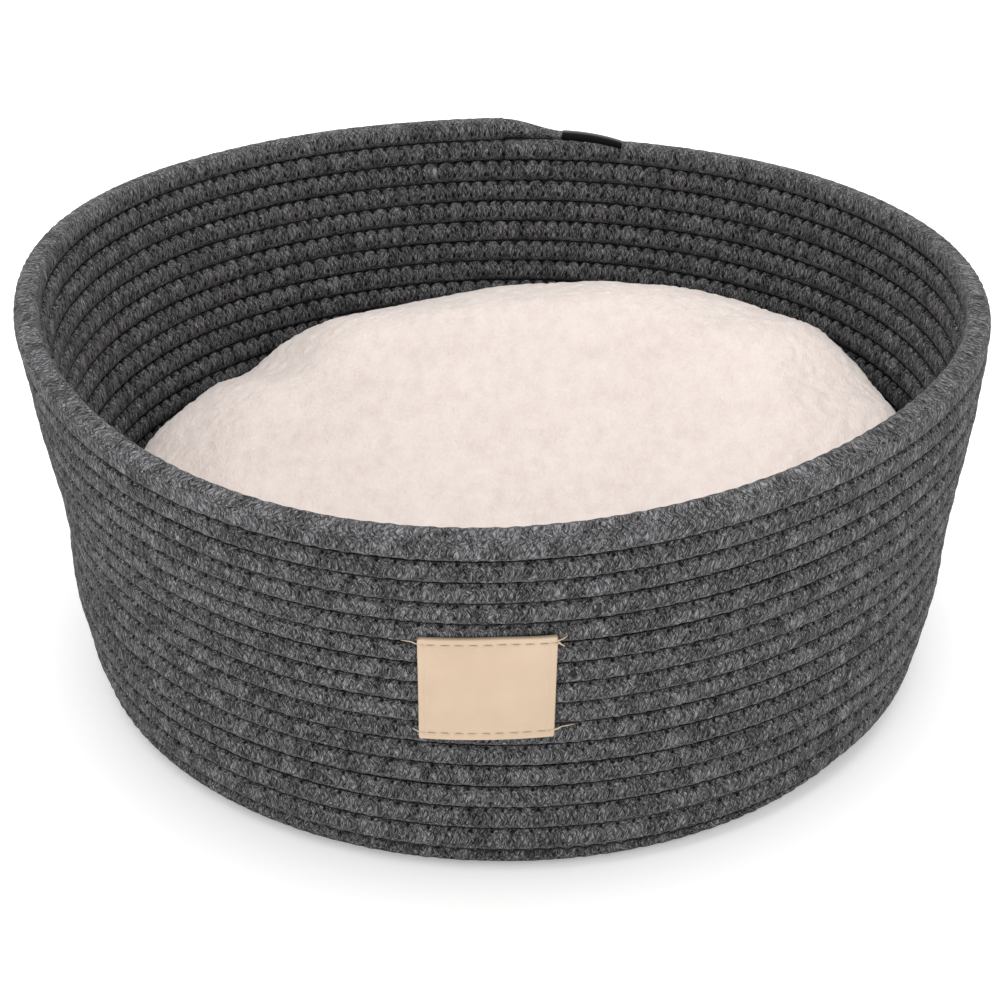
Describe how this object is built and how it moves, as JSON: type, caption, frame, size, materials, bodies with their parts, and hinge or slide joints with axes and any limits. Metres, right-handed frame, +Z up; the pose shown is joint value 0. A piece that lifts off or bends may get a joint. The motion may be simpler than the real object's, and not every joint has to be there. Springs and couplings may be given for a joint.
{
  "type": "coiled rope pet bed",
  "caption": "Round open basket coiled and sewn from thick braided rope, with a flared wall, a blank leather label and a loose plush cushion inside.",
  "frame": {"origin": "centre of the underside, in the plane the basket stands on", "axes": "+Z up along the basket's round axis; the leather label faces -Y"},
  "size_m": [0.3923, 0.393, 0.1635],
  "materials": {
    "rope": "matte",
    "rope_core": "matte",
    "sewing_thread": "matte",
    "binding": "satin",
    "label_leather": "matte",
    "label_thread": "matte",
    "plush": "matte",
    "cushion_fill": "matte",
    "cushion_thread": "matte"
  },
  "bodies": {
    "basket": {"base_coil": "rope", "wall_coil": "rope", "rim_coil": "rope", "base_coil_core": "rope_core", "wall_coil_core": "rope_core", "rim_coil_core": "rope_core", "base_stitching_top": "sewing_thread", "base_stitching_bottom": "sewing_thread", "wall_stitching_inner": "sewing_thread", "wall_stitching_outer": "sewing_thread", "rope_end_binding": "binding", "label_patch": "label_leather", "label_stitch_upper": "label_thread", "label_stitch_lower": "label_thread"},
    "cushion": {"cushion_top_cover": "plush", "cushion_base_cover": "plush", "cushion_fill": "cushion_fill", "cushion_seam_thread": "cushion_thread"}
  },
  "joints": [
    {"name": "cushion_lift", "type": "slide", "parent": "basket", "child": "cushion", "axis": [0, 0, 1], "range_m": [0, 0.25]}
  ]
}
